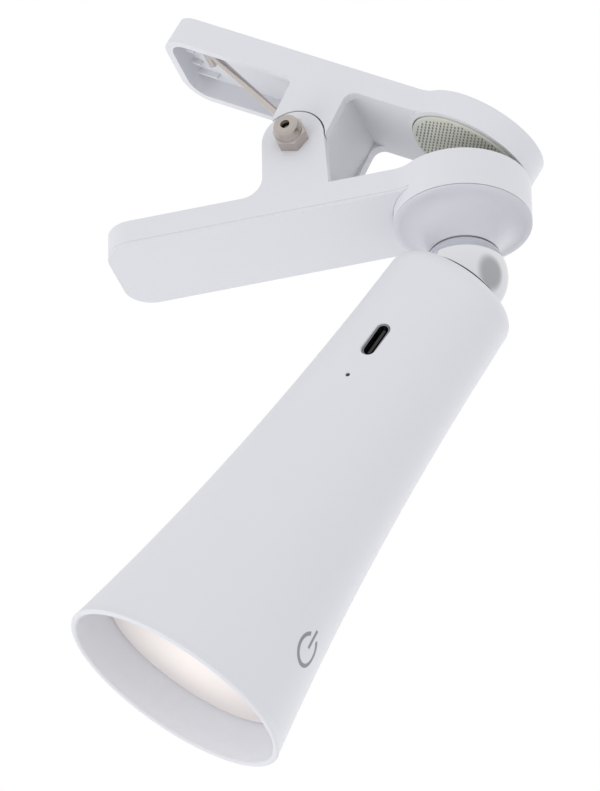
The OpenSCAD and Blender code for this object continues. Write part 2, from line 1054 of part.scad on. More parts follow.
module lead_wires() {
    color([0.7, 0.1, 0.1])
        head_axes()
            for (x = [-1, 1])
                at_s(led_s - 0.05)
                    translate([x * 3, -9.35, 0])
                        cylinder(h = led_s - 0.05 - 72 + 3, r = 0.6);
}

lower_arm();
arm_cover();
neck();
neck_screws();
lower_grip_pad();
hinge_bolt();
bolt_washer();
hinge_nut();
spring_sleeve();
torsion_spring();
upper_arm();
upper_grip_pad();
spring_leg();
pivot_ball();
ball_stud();
stud_washer();
stud_nut();
socket_cup();
socket_magnet();
head_shell();
retaining_ring();
chassis();
chassis_screws();
battery_cell();
battery_sleeve();
battery_tabs();
main_board();
board_parts();
usb_socket();
usb_tongue();
charge_light();
touch_foil();
power_mark();
heat_spreader();
led_board();
leds();
reflector();
diffuser();
lead_wires();
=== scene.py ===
"""Clip-on reading lamp: finishes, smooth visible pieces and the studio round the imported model."""

import json
import logging
import math
from dataclasses import dataclass, field
from enum import Enum
from typing import Any, Callable, ClassVar, Iterable, Sequence

import bmesh
import bpy
from mathutils import Matrix, Vector


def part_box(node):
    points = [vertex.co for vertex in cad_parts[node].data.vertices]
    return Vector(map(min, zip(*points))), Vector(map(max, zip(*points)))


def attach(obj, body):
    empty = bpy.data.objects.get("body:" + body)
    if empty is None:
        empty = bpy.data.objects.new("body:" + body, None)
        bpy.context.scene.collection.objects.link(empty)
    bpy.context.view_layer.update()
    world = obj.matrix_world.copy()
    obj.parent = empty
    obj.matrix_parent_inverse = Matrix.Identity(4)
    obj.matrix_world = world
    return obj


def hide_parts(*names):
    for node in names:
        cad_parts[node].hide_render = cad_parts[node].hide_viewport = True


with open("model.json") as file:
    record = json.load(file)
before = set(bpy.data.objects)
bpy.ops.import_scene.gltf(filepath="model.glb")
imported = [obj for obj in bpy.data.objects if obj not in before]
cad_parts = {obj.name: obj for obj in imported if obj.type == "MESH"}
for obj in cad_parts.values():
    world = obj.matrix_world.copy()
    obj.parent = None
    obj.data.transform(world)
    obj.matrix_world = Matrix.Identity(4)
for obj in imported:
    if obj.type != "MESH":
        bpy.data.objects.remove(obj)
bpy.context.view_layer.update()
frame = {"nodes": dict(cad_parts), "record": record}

MM = 0.001
LOG = logging.getLogger("reading_lamp")

Point = tuple[float, float]
Socket = bpy.types.NodeSocket


# ---------------------------------------------------------------- colour and nodes


def to_linear(hex_colour: str) -> tuple[float, float, float, float]:
    """Turn an sRGB hex colour into the linear values that shaders use.

    Args:
        hex_colour: Six hex digits with a leading hash.

    Returns:
        Linear red, green and blue, and full opacity.
    """
    parts = [int(hex_colour[i:i + 2], 16) / 255 for i in (1, 3, 5)]
    red, green, blue = (p / 12.92 if p <= 0.04045 else ((p + 0.055) / 1.055) ** 2.4 for p in parts)
    return red, green, blue, 1.0


def add_node(tree: bpy.types.NodeTree, kind: str, settings: dict[Any, Any] | None = None,
             links: dict[Any, Socket] | None = None) -> bpy.types.Node:
    """Add a node, give it its settings and connect its inputs.

    Args:
        tree: Tree that gets the node.
        kind: The node's type name.
        settings: Values by input name or index, or by the node's own property name.
        links: Sockets to join to inputs, by input name or index.

    Returns:
        The new node.
    """
    node = tree.nodes.new(kind)
    for key, value in (settings or {}).items():
        if isinstance(key, int) or key in node.inputs:
            node.inputs[key].default_value = value
        else:
            setattr(node, key, value)
    for key, socket in (links or {}).items():
        tree.links.new(socket, node.inputs[key])
    return node


def bare_material(name: str) -> tuple[bpy.types.Material, bpy.types.NodeTree, Socket]:
    """Open an empty material; return it, its node tree and the place on the piece."""
    made = bpy.data.materials.new(name)
    made.use_nodes = True
    tree = made.node_tree
    tree.nodes.clear()
    return made, tree, add_node(tree, "ShaderNodeTexCoord").outputs["Object"]


def spaced(start: float, end: float, steps: int) -> list[float]:
    """Evenly spaced values from start to end, both included."""
    return [start + (end - start) * i / steps for i in range(steps + 1)]


class Sheen(Enum):
    """How a moulded or plated surface leaves its tool, as a shader roughness."""

    MIRROR = 0.03
    GLOSS = 0.16
    SOFT_GLOSS = 0.3
    SATIN = 0.42
    MATT = 0.62


@dataclass(frozen=True)
class MouldedPlastic:
    """ABS or a like plastic out of a spark-eroded mould, which gives a fine even grain.

    The grain of such a tool is about 0.05 mm, too fine to show, so grain_mm is drawn coarser.
    """

    name: str
    colour: str
    sheen: Sheen = Sheen.SATIN
    grain_mm: float = 0.35
    grain_height_mm: float = 0.004
    flow_mm: float = 18.0
    mottle: float = 0.02
    gloss_swing: Point = (-0.03, 0.04)

    def material(self) -> bpy.types.Material:
        """Build the plastic: a faint grain in the bump, and a slight unevenness in the gloss."""
        made, tree, where = bare_material(self.name)
        grain = add_node(tree, "ShaderNodeTexNoise",
                         {"Scale": 1 / (self.grain_mm * MM), "Detail": 2.0, "Roughness": 0.6},
                         {"Vector": where})
        bump = add_node(tree, "ShaderNodeBump",
                        {"Strength": 0.6, "Distance": self.grain_height_mm * MM},
                        {"Height": grain.outputs["Fac"]})
        # uneven gloss where the melt cooled at different speeds
        flow = add_node(tree, "ShaderNodeTexNoise",
                        {"Scale": 1 / (self.flow_mm * MM), "Detail": 3.0}, {"Vector": where})
        rough = add_node(tree, "ShaderNodeMapRange",
                         {"To Min": self.sheen.value + self.gloss_swing[0],
                          "To Max": self.sheen.value + self.gloss_swing[1]},
                         {"Value": flow.outputs["Fac"]})
        base = to_linear(self.colour)
        dim = tuple(c * (1 - self.mottle) for c in base[:3]) + (1.0,)
        tint = add_node(tree, "ShaderNodeMix", {"data_type": "RGBA", 6: dim, 7: base},
                        {0: flow.outputs["Fac"]})
        shader = add_node(tree, "ShaderNodeBsdfPrincipled", {"IOR": 1.5},
                          {"Base Color": tint.outputs[2], "Roughness": rough.outputs[0],
                           "Normal": bump.outputs["Normal"]})
        add_node(tree, "ShaderNodeOutputMaterial", None, {"Surface": shader.outputs[0]})
        return made


@dataclass(frozen=True)
class PlatedMetal:
    """Steel under nickel, chrome or zinc. Drawn or turned parts keep fine lines along one axis."""

    name: str
    colour: str
    sheen: Sheen = Sheen.SOFT_GLOSS
    line_mm: float = 0.25
    line_axis: int = 2
    line_height_mm: float = 0.002
    line_stretch: float = 0.04
    stain_mm: float = 4.0
    stain: float = 0.1
    gloss_swing: Point = (-0.02, 0.05)

    def material(self) -> bpy.types.Material:
        """Build the metal: stretched noise for its tool lines and a little staining."""
        made, tree, where = bare_material(self.name)
        stretch = [1.0, 1.0, 1.0]
        stretch[self.line_axis] = self.line_stretch
        drawn = add_node(tree, "ShaderNodeMapping", {"Scale": stretch}, {"Vector": where})
        lines = add_node(tree, "ShaderNodeTexNoise",
                         {"Scale": 1 / (self.line_mm * MM), "Detail": 3.0},
                         {"Vector": drawn.outputs[0]})
        bump = add_node(tree, "ShaderNodeBump",
                        {"Strength": 0.5, "Distance": self.line_height_mm * MM},
                        {"Height": lines.outputs["Fac"]})
        patch = add_node(tree, "ShaderNodeTexNoise",
                         {"Scale": 1 / (self.stain_mm * MM), "Detail": 4.0}, {"Vector": where})
        rough = add_node(tree, "ShaderNodeMapRange",
                         {"To Min": max(0.01, self.sheen.value + self.gloss_swing[0]),
                          "To Max": self.sheen.value + self.gloss_swing[1]},
                         {"Value": patch.outputs["Fac"]})
        base = to_linear(self.colour)
        dim = tuple(c * (1 - self.stain) for c in base[:3]) + (1.0,)
        tint = add_node(tree, "ShaderNodeMix", {"data_type": "RGBA", 6: dim, 7: base},
                        {0: patch.outputs["Fac"]})
        shader = add_node(tree, "ShaderNodeBsdfPrincipled", {"Metallic": 1.0},
                          {"Base Color": tint.outputs[2], "Roughness": rough.outputs[0],
                           "Normal": bump.outputs["Normal"]})
        add_node(tree, "ShaderNodeOutputMaterial", None, {"Surface": shader.outputs[0]})
        return made


@dataclass(frozen=True)
class OpalSheet:
    """Opal acrylic over LEDs: warm white, brightest in the middle and greyer at its rim. One colour
    drives both its faint LED glow and its own colour; in its own colour the bright middle is painted
    light and the grey rim painted shade.
    """

    name: str
    middle: str
    edge: str
    centre: tuple[float, float, float]
    radius_mm: float
    glow: float
    haze_mm: float = 2.0

    def material(self) -> bpy.types.Material:
        """Build the sheet: a faint glow in a colour that fades towards the rim, with painted light in its
        middle and painted shade at its rim.
        """
        made, tree, where = bare_material(self.name)
        apart = add_node(tree, "ShaderNodeVectorMath", {"operation": "DISTANCE", 1: self.centre},
                         {0: where})
        reach = add_node(tree, "ShaderNodeMapRange",
                         {"From Min": 0.0, "From Max": self.radius_mm * MM,
                          "interpolation_type": "SMOOTHSTEP"},
                         {"Value": apart.outputs["Value"]})
        # one colour for glow and surface: painted light in the middle, painted shade towards the rim
        hue = add_node(tree, "ShaderNodeMix",
                        {"data_type": "RGBA", 6: to_linear(self.middle), 7: to_linear(self.edge)},
                        {0: reach.outputs[0]})
        # flow marks of the sheet, barely there
        haze = add_node(tree, "ShaderNodeTexNoise",
                        {"Scale": 1 / (self.haze_mm * MM), "Detail": 2.0}, {"Vector": where})
        bump = add_node(tree, "ShaderNodeBump", {"Strength": 0.3, "Distance": 0.01 * MM},
                        {"Height": haze.outputs["Fac"]})
        shader = add_node(tree, "ShaderNodeBsdfPrincipled",
                          {"Roughness": 0.5, "IOR": 1.49, "Emission Strength": self.glow},
                          {"Base Color": hue.outputs[2], "Emission Color": hue.outputs[2],
                           "Normal": bump.outputs["Normal"]})
        add_node(tree, "ShaderNodeOutputMaterial", None, {"Surface": shader.outputs[0]})
        return made


Finish = MouldedPlastic | PlatedMetal | OpalSheet


# ---------------------------------------------------------------- making meshes


def new_piece(name: str, mesh: bpy.types.Mesh) -> bpy.types.Object:
    """Put a mesh in the scene as an object at the origin."""
    piece = bpy.data.objects.new(name, mesh)
    bpy.context.scene.collection.objects.link(piece)
    return piece


def mesh_of(name: str, points: Sequence[Sequence[float]], edges: Iterable[Sequence[int]] = (),
            faces: Iterable[Sequence[int]] = ()) -> bpy.types.Mesh:
    """Make a mesh from points, edges and faces, all in metres."""
    mesh = bpy.data.meshes.new(name)
    mesh.from_pydata([tuple(p) for p in points], [tuple(e) for e in edges], [tuple(f) for f in faces])
    return mesh


def tidy(mesh: bpy.types.Mesh, sharp_deg: float = 35.0) -> None:
    """Merge doubles, point the faces outwards and shade smooth up to an angle.

    Args:
        mesh: Mesh that is changed in place.
        sharp_deg: Edges that turn by more than this stay crisp.
    """
    work = bmesh.new()
    work.from_mesh(mesh)
    bmesh.ops.remove_doubles(work, verts=work.verts, dist=1e-7)
    bmesh.ops.dissolve_degenerate(work, edges=work.edges, dist=1e-8)
    bmesh.ops.recalc_face_normals(work, faces=work.faces)
    work.to_mesh(mesh)
    work.free()
    for face in mesh.polygons:
        face.use_smooth = True
    mesh.set_sharp_from_angle(angle=math.radians(sharp_deg))


def evaluated_mesh(piece: bpy.types.Object) -> bpy.types.Mesh:
    """Return a plain mesh of an object with all its modifiers worked in."""
    graph = bpy.context.evaluated_depsgraph_get()
    return bpy.data.meshes.new_from_object(piece.evaluated_get(graph))


def settle(piece: bpy.types.Object) -> bpy.types.Object:
    """Work an object's modifiers into its mesh and drop them."""
    mesh = evaluated_mesh(piece)
    piece.modifiers.clear()
    piece.data = mesh
    return piece


def carve(piece: bpy.types.Object, tools: Sequence[bpy.types.Object]) -> bpy.types.Object:
    """Cut tool solids out of a piece and remove the tools."""
    for tool in tools:
        cut = piece.modifiers.new("cut", "BOOLEAN")
        cut.operation = "DIFFERENCE"
        cut.solver = "EXACT"
        cut.object = tool
    settle(piece)
    for tool in tools:
        bpy.data.objects.remove(tool)
    return piece


def prism(name: str, outline: Sequence[Point], low: float, high: float,
          lift: Callable[[float, float, float], Vector]) -> bpy.types.Object:
    """Make a closed prism from an outline.

    Args:
        name: Name of the object.
        outline: Points of the outline, in millimetres.
        low: One end of the prism along its own axis.
        high: The other end.
        lift: Turns outline x, outline y and height, in millimetres, into a place in metres.

    Returns:
        The prism as an object.
    """
    count = len(outline)
    points = [lift(x, y, h) for h in (low, high) for x, y in outline]
    faces = [list(range(count)), list(range(2 * count - 1, count - 1, -1))]
    faces += [(i, (i + 1) % count, count + (i + 1) % count, count + i) for i in range(count)]
    mesh = mesh_of(name, points, (), faces)
    tidy(mesh)
    return new_piece(name, mesh)


def stadium(length: float, width: float, steps: int = 20) -> list[Point]:
    """Outline of a slot with round ends, its long side along the second axis."""
    radius, half = width / 2, (length - width) / 2
    outline = []
    for start, middle in ((0.0, half), (math.pi, -half)):
        for turn in spaced(start, start + math.pi, steps):
            outline.append((radius * math.cos(turn), middle + radius * math.sin(turn)))
    return outline


def arc(centre: Point, radius: float, start_deg: float, end_deg: float, steps: int) -> list[Point]:
    """Points along an arc, ends included."""
    turns = [math.radians(turn) for turn in spaced(start_deg, end_deg, steps)]
    return [(centre[0] + radius * math.cos(t), centre[1] + radius * math.sin(t)) for t in turns]


# ---------------------------------------------------------------- geometry node trees


class NodeWorkshop:
    """Builds the node trees that turn profiles, draw wire and set out the grip's dashes."""

    ring_mm: float = 60.0
    dash_inset_mm: float = 0.4

    def __init__(self) -> None:
        """Build each tree once."""
        self.turning = self._turning_tree()
        self.drawing = self._drawing_tree()
        self.dashing = self._dashing_tree()

    @staticmethod
    def _start(name: str, inputs: Sequence[tuple[str, str, Any]]
               ) -> tuple[bpy.types.NodeTree, bpy.types.Node]:
        """Open a tree with a geometry input, named inputs and a geometry output."""
        tree = bpy.data.node_groups.new(name, "GeometryNodeTree")
        tree.interface.new_socket("Geometry", in_out="INPUT", socket_type="NodeSocketGeometry")
        for label, kind, value in inputs:
            socket = tree.interface.new_socket(label, in_out="INPUT", socket_type=kind)
            if value is not None:
                socket.default_value = value
        tree.interface.new_socket("Geometry", in_out="OUTPUT", socket_type="NodeSocketGeometry")
        return tree, add_node(tree, "NodeGroupInput")

    @staticmethod
    def _close(tree: bpy.types.NodeTree, given: bpy.types.Node, shape: Socket) -> bpy.types.NodeTree:
        """End a tree in Realize Instances and Set Material."""
        real = add_node(tree, "GeometryNodeRealizeInstances", None, {0: shape})
        dressed = add_node(tree, "GeometryNodeSetMaterial", None,
                           {"Geometry": real.outputs[0], "Material": given.outputs["Finish"]})
        add_node(tree, "NodeGroupOutput", None, {0: dressed.outputs[0]})
        return tree

    def _turning_tree(self) -> bpy.types.NodeTree:
        """Sweep a profile round a ring, as a lathe would turn it."""
        tree, given = self._start("turned_form", [
            ("Steps", "NodeSocketInt", 128), ("Ring Radius", "NodeSocketFloat", self.ring_mm * MM),
            ("Finish", "NodeSocketMaterial", None)])
        ring = add_node(tree, "GeometryNodeCurvePrimitiveCircle", None,
                        {"Resolution": given.outputs["Steps"], "Radius": given.outputs["Ring Radius"]})
        upright = add_node(tree, "GeometryNodeSetCurveNormal", {"mode": "Z_UP"},
                           {"Curve": ring.outputs[0]})
        outline = add_node(tree, "GeometryNodeMeshToCurve", None, {"Mesh": given.outputs["Geometry"]})
        swept = add_node(tree, "GeometryNodeCurveToMesh", None,
                         {"Curve": upright.outputs[0], "Profile Curve": outline.outputs[0]})
        return self._close(tree, given, swept.outputs[0])

    def _drawing_tree(self) -> bpy.types.NodeTree:
        """Draw round wire along a path."""
        tree, given = self._start("drawn_wire", [
            ("Wire Radius", "NodeSocketFloat", 0.8 * MM), ("Sides", "NodeSocketInt", 20),
            ("Finish", "NodeSocketMaterial", None)])
        path = add_node(tree, "GeometryNodeMeshToCurve", None, {"Mesh": given.outputs["Geometry"]})
        section = add_node(tree, "GeometryNodeCurvePrimitiveCircle", None,
                           {"Resolution": given.outputs["Sides"], "Radius": given.outputs["Wire Radius"]})
        swept = add_node(tree, "GeometryNodeCurveToMesh", {"Fill Caps": True},
                         {"Curve": path.outputs[0], "Profile Curve": section.outputs[0]})
        return self._close(tree, given, swept.outputs[0])

    def _dashing_tree(self) -> bpy.types.NodeTree:
        """Set short raised dashes in staggered rows inside a circle."""
        tree, given = self._start("grip_dashes", [
            ("Pad Radius", "NodeSocketFloat", 13.0 * MM), ("Row Pitch", "NodeSocketFloat", 0.88 * MM),
            ("Dash Pitch", "NodeSocketFloat", 1.5 * MM),
            ("Dash Size", "NodeSocketVector", (0.36 * MM, 1.02 * MM, 0.05 * MM)),
            ("Seed", "NodeSocketInt", 7), ("Finish", "NodeSocketMaterial", None)])

        radius, row_pitch = given.outputs["Pad Radius"], given.outputs["Row Pitch"]
        span = add_node(tree, "ShaderNodeMath", {"operation": "MULTIPLY", 1: 2.0}, {0: radius})
        counts = []
        for pitch in (row_pitch, given.outputs["Dash Pitch"]):
            fits = add_node(tree, "ShaderNodeMath", {"operation": "DIVIDE"},
                            {0: span.outputs[0], 1: pitch})
            whole = add_node(tree, "ShaderNodeMath", {"operation": "FLOOR"}, {0: fits.outputs[0]})
            counts.append(add_node(tree, "ShaderNodeMath", {"operation": "ADD", 1: 1.0},
                                   {0: whole.outputs[0]}))
        lattice = add_node(tree, "GeometryNodeMeshGrid", None,
                           {"Size X": span.outputs[0], "Size Y": span.outputs[0],
                            "Vertices X": counts[0].outputs[0], "Vertices Y": counts[1].outputs[0]})
        spots = add_node(tree, "GeometryNodeMeshToPoints", None, {"Mesh": lattice.outputs[0]})
        # each second row moves along by half a dash pitch
        place = add_node(tree, "ShaderNodeSeparateXYZ", None,
                         {0: add_node(tree, "GeometryNodeInputPosition").outputs[0]})
        along = add_node(tree, "ShaderNodeMath", {"operation": "ADD"},
                         {0: place.outputs[0], 1: radius})
        passed = add_node(tree, "ShaderNodeMath", {"operation": "DIVIDE"},
                          {0: along.outputs[0], 1: row_pitch})
        row = add_node(tree, "ShaderNodeMath", {"operation": "ROUND"}, {0: passed.outputs[0]})
        odd = add_node(tree, "ShaderNodeMath", {"operation": "MODULO", 1: 2.0}, {0: row.outputs[0]})
        half = add_node(tree, "ShaderNodeMath", {"operation": "MULTIPLY", 1: 0.5},
                        {0: given.outputs["Dash Pitch"]})
        stagger = add_node(tree, "ShaderNodeMath", {"operation": "MULTIPLY"},
                           {0: odd.outputs[0], 1: half.outputs[0]})
        shift = add_node(tree, "ShaderNodeCombineXYZ", None, {1: stagger.outputs[0]})
        moved = add_node(tree, "GeometryNodeSetPosition", None,
                         {"Geometry": spots.outputs[0], "Offset": shift.outputs[0]})
        # what lies outside the circle goes
        away = add_node(tree, "ShaderNodeVectorMath", {"operation": "LENGTH"},
                        {0: add_node(tree, "GeometryNodeInputPosition").outputs[0]})
        limit = add_node(tree, "ShaderNodeMath", {"operation": "SUBTRACT", 1: self.dash_inset_mm * MM},
                         {0: radius})
        far = add_node(tree, "ShaderNodeMath", {"operation": "GREATER_THAN"},
                       {0: away.outputs["Value"], 1: limit.outputs[0]})
        kept = add_node(tree, "GeometryNodeDeleteGeometry", {"domain": "POINT"},
                        {"Geometry": moved.outputs[0], "Selection": far.outputs[0]})
        block = add_node(tree, "GeometryNodeMeshCube", None, {"Size": given.outputs["Dash Size"]})
        size = add_node(tree, "FunctionNodeRandomValue", {"data_type": "FLOAT", 2: 0.9, 3: 1.08},
                        {"Seed": given.outputs["Seed"]})
        laid = add_node(tree, "GeometryNodeInstanceOnPoints", None,
                        {"Points": kept.outputs[0], "Instance": block.outputs[0],
                         "Scale": size.outputs[1]})
        return self._close(tree, given, laid.outputs[0])

    @staticmethod
    def bake(name: str, seed: bpy.types.Mesh, tree: bpy.types.NodeTree,
             values: dict[str, Any]) -> bpy.types.Object:
        """Run a tree on a mesh and keep the result as a plain object.

        Args:
            name: Name of the finished piece.
            seed: Mesh that the tree starts from.
            tree: Node tree to run.
            values: The tree's inputs by name.

        Returns:
            The baked piece, with no modifier left on it.
        """
        carrier = bpy.data.objects.new(name + "_seed", seed)
        nodes = carrier.modifiers.new("nodes", "NODES")
        nodes.node_group = tree
        for item in tree.interface.items_tree:
            if item.item_type == "SOCKET" and item.in_out == "INPUT" and item.name in values:
                nodes[item.identifier] = values[item.name]
        bpy.context.scene.collection.objects.link(carrier)
        mesh = evaluated_mesh(carrier)
        bpy.data.objects.remove(carrier)
        return new_piece(name, mesh)

    def turned(self, name: str, profile: Sequence[Point], finish: bpy.types.Material, place: Matrix,
               steps: int = 128, closed: bool = False) -> bpy.types.Object:
        """Turn a profile of radius and height, in millimetres, about an axis.

        Args:
            name: Name of the piece.
            profile: Radius and height pairs.
            finish: Material of the piece.
            place: Where the axis stands.
            steps: Faces round the axis.
            closed: Whether the profile ends where it starts.

        Returns:
            The turned piece.
        """
        points = [((r - self.ring_mm) * MM, -h * MM, 0.0) for r, h in profile]
        last = len(points) if closed else len(points) - 1
        edges = [(i, (i + 1) % len(points)) for i in range(last)]
        piece = self.bake(name, mesh_of(name, points, edges), self.turning,
                          {"Steps": steps, "Ring Radius": self.ring_mm * MM, "Finish": finish})
        tidy(piece.data)
        piece.data.transform(place)
        return piece

    def wire(self, name: str, path: Sequence[Vector], radius_mm: float, finish: bpy.types.Material,
             place: Matrix) -> bpy.types.Object:
        """Draw wire along a path given in millimetres."""
        seed = mesh_of(name, [p * MM for p in path], [(i, i + 1) for i in range(len(path) - 1)])
        piece = self.bake(name, seed, self.drawing,
                          {"Wire Radius": radius_mm * MM, "Sides": 20, "Finish": finish})
        tidy(piece.data, 50.0)
        piece.data.transform(place)
        return piece

    def dashes(self, name: str, radius_mm: float, finish: bpy.types.Material,
               place: Matrix) -> bpy.types.Object:
        """Set out the grip pad's dashes on a plane."""
        seed = mesh_of(name, [(0.0, 0.0, 0.0)])
        piece = self.bake(name, seed, self.dashing, {"Pad Radius": radius_mm * MM, "Finish": finish})
        piece.data.transform(place)
        return piece


# ---------------------------------------------------------------- finishes


class FinishRack:
    """Every finish on the lamp, made once and looked up by the record's slot name."""

    def __init__(self, diffuser_centre: Vector) -> None:
        """Make the finishes.

        Args:
            diffuser_centre: Middle of the diffuser's face, in metres.
        """
        steel = Sheen.SOFT_GLOSS
        recipes: dict[str, Finish] = {
            # white ABS, spark-eroded tool: a soft even white with a broad dull highlight
            "clip_plastic": MouldedPlastic("white_abs_clip", "#DEDFE4"),
            "cover_plastic": MouldedPlastic("white_abs_cover", "#DDDEE3"),
            "head_plastic": MouldedPlastic("white_abs_head", "#DEDFE4"),
            # the neck comes from a polished tool, so it shows softer, smaller highlights; its greyer
            # white is painted shade, for the shade that falls on it between the disc and the head
            "neck_plastic": MouldedPlastic("white_abs_neck", "#D0D1D8", Sheen.SOFT_GLOSS,
                                           grain_height_mm=0.002),
            # silicone rubber, dull, grey-green; its dashes are coloured dark as painted shade, standing
            # for the shade round each raised dash, so that so fine a pattern shows
            "grip_rubber": MouldedPlastic("grey_silicone_pad", "#D2D3CA", Sheen.MATT, mottle=0.05),
            "grip_dash": MouldedPlastic("grip_dash_shadow", "#74756F", Sheen.MATT, mottle=0.1),
            "screw_steel": PlatedMetal("zinc_screw", "#BDBDC0", steel, line_axis=2),
            "bolt_steel": PlatedMetal("nickel_bolt", "#B9B3AF", Sheen.GLOSS, line_axis=1),
            # nickel on a pressed lock nut: warm grey, bright on its faces
            "nut_steel": PlatedMetal("nickel_lock_nut", "#C6BDB7", Sheen.SOFT_GLOSS, line_axis=1),
            # drawn spring wire: lines along the wire, soft gloss
            "spring_steel": PlatedMetal("drawn_spring_wire", "#D2CAC6", Sheen.GLOSS, line_axis=2),
            "sleeve_plastic": MouldedPlastic("dark_nylon_sleeve", "#3A3A3D", Sheen.SATIN),
            # polished and chromed ball: a true mirror
            "ball_chrome": PlatedMetal("chromed_ball", "#E4E5E8", Sheen.MIRROR,
                                       line_height_mm=0.0, stain=0.01),
            # socket: its near-black colour is painted shade, for the shade in the narrow gap round the
            # ball
            "socket_plastic": MouldedPlastic("near_black_socket_gap_shade", "#1B1B1E", Sheen.SATIN),
            "magnet_metal": PlatedMetal("nickel_magnet", "#B4B4B8", Sheen.GLOSS),
            "chassis_plastic": MouldedPlastic("natural_nylon_chassis", "#D8D7D0", Sheen.MATT),
            "cell_can": PlatedMetal("cell_can", "#C4C5C8", steel),
            "cell_sleeve": MouldedPlastic("cell_shrink_film", "#3E6FA8", Sheen.GLOSS),
            "tab_metal": PlatedMetal("nickel_tab", "#C9C4B8", steel, line_axis=1),
            "board": MouldedPlastic("green_solder_mask", "#2C6E46", Sheen.SOFT_GLOSS),
            "chips": MouldedPlastic("epoxy_package", "#242426", Sheen.MATT),
            "port_steel": PlatedMetal("port_shell_steel", "#8E8E92", steel, line_axis=1),
            "port_plastic": MouldedPlastic("port_tongue_nylon", "#232325", Sheen.SATIN),
            "light_pipe": MouldedPlastic("smoked_light_pipe", "#3C3D42", Sheen.GLOSS),
            "foil_copper": PlatedMetal("copper_foil", "#C58A66", steel),
            # pad-printed grey ink, slightly duller than the shell
            "mark_ink": MouldedPlastic("printed_grey_ink", "#929399", Sheen.MATT, mottle=0.04),
            "spreader_metal": PlatedMetal("bare_aluminium_spreader", "#C9CACC", steel),
            "led_board": MouldedPlastic("white_solder_mask", "#EDEDE8", Sheen.SOFT_GLOSS),
            "led": MouldedPlastic("led_phosphor", "#F1D27A", Sheen.SATIN),
            "reflector_plastic": MouldedPlastic("bright_white_reflector", "#F2F2EE", Sheen.GLOSS),
            "wire_skin": MouldedPlastic("red_pvc_lead", "#B02A20", Sheen.SOFT_GLOSS),
            # opal diffuser: its colour carries painted light in the middle and painted shade at the rim,
            # besides its faint glow
            "diffuser": OpalSheet("opal_acrylic_diffuser", "#F3ECE8", "#D2CBCA",
                                  tuple(diffuser_centre), radius_mm=25.0, glow=0.07),
        }
        self.made = {slot: recipe.material() for slot, recipe in recipes.items()}

    def __getitem__(self, slot: str) -> bpy.types.Material:
        """Return the material of a slot."""
        return self.made[slot]

    def dress_cad(self) -> None:
        """Give every CAD node the finish of its slot."""
        slots = {entry["node"]: entry["material_slot"] for entry in frame["record"]["subparts"]}
        for node, piece in frame["nodes"].items():
            for holder in piece.material_slots:
                holder.material = self[slots[node]]
            if not piece.material_slots:
                piece.data.materials.append(self[slots[node]])


# ---------------------------------------------------------------- sub-assemblies


@dataclass
class Assembly:
    """What the lamp's sub-assemblies share: the workshop, the finishes and a way to hand in a piece.

    For a softened piece, points closer than merge_mm are one, faces within flat_deg are one flat,
    and edges that turn by more than edge_deg are rounded.
    """

    shop: NodeWorkshop
    rack: FinishRack
    merge_mm: ClassVar[float] = 0.002
    flat_deg: ClassVar[float] = 0.6
    edge_deg: ClassVar[float] = 28.0

    def hand_in(self, piece: bpy.types.Object, body: str, slot: str, *nodes: str) -> None:
        """Fix a piece to its body, and let it stand for CAD nodes.

        Args:
            piece: The finished piece.
            body: Body that carries it.
            slot: The record's material slot; not used.
            nodes: CAD nodes that it replaces.
        """
        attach(piece, body)
        if nodes:
            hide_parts(*nodes)
        LOG.info("%s: %d faces on %s", piece.name, len(piece.data.polygons), body)

    def softened(self, node: str, name: str, slot: str, body: str, radius_mm: float,
                 segments: int = 3) -> None:
        """Copy a CAD node and round its edges as the mould would.

        Args:
            node: CAD node to copy.
            name: Name of the new piece.
            slot: The record's material slot.
            body: Body that carries it.
            radius_mm: Size of the rounding.
            segments: Faces across each rounding.
        """
        mesh = frame["nodes"][node].data.copy()
        mesh.name = name
        work = bmesh.new()
        work.from_mesh(mesh)
        bmesh.ops.remove_doubles(work, verts=work.verts, dist=self.merge_mm * MM)
        bmesh.ops.dissolve_limit(work, angle_limit=math.radians(self.flat_deg), verts=work.verts,
                                 edges=work.edges)
        work.to_mesh(mesh)
        work.free()
        for layer in ("custom_normal", "sharp_edge", "sharp_face"):
            if layer in mesh.attributes:
                mesh.attributes.remove(mesh.attributes[layer])
        mesh.materials.clear()
        mesh.materials.append(self.rack[slot])
        for face in mesh.polygons:
            face.use_smooth = True
        piece = new_piece(name, mesh)
        round_off = piece.modifiers.new("round", "BEVEL")
        round_off.width = radius_mm * MM
        round_off.segments = segments
        round_off.limit_method = "ANGLE"
        round_off.angle_limit = math.radians(self.edge_deg)
        round_off.harden_normals = True
        round_off.miter_outer = "MITER_ARC"
        settle(piece)
        self.hand_in(piece, body, slot, node)


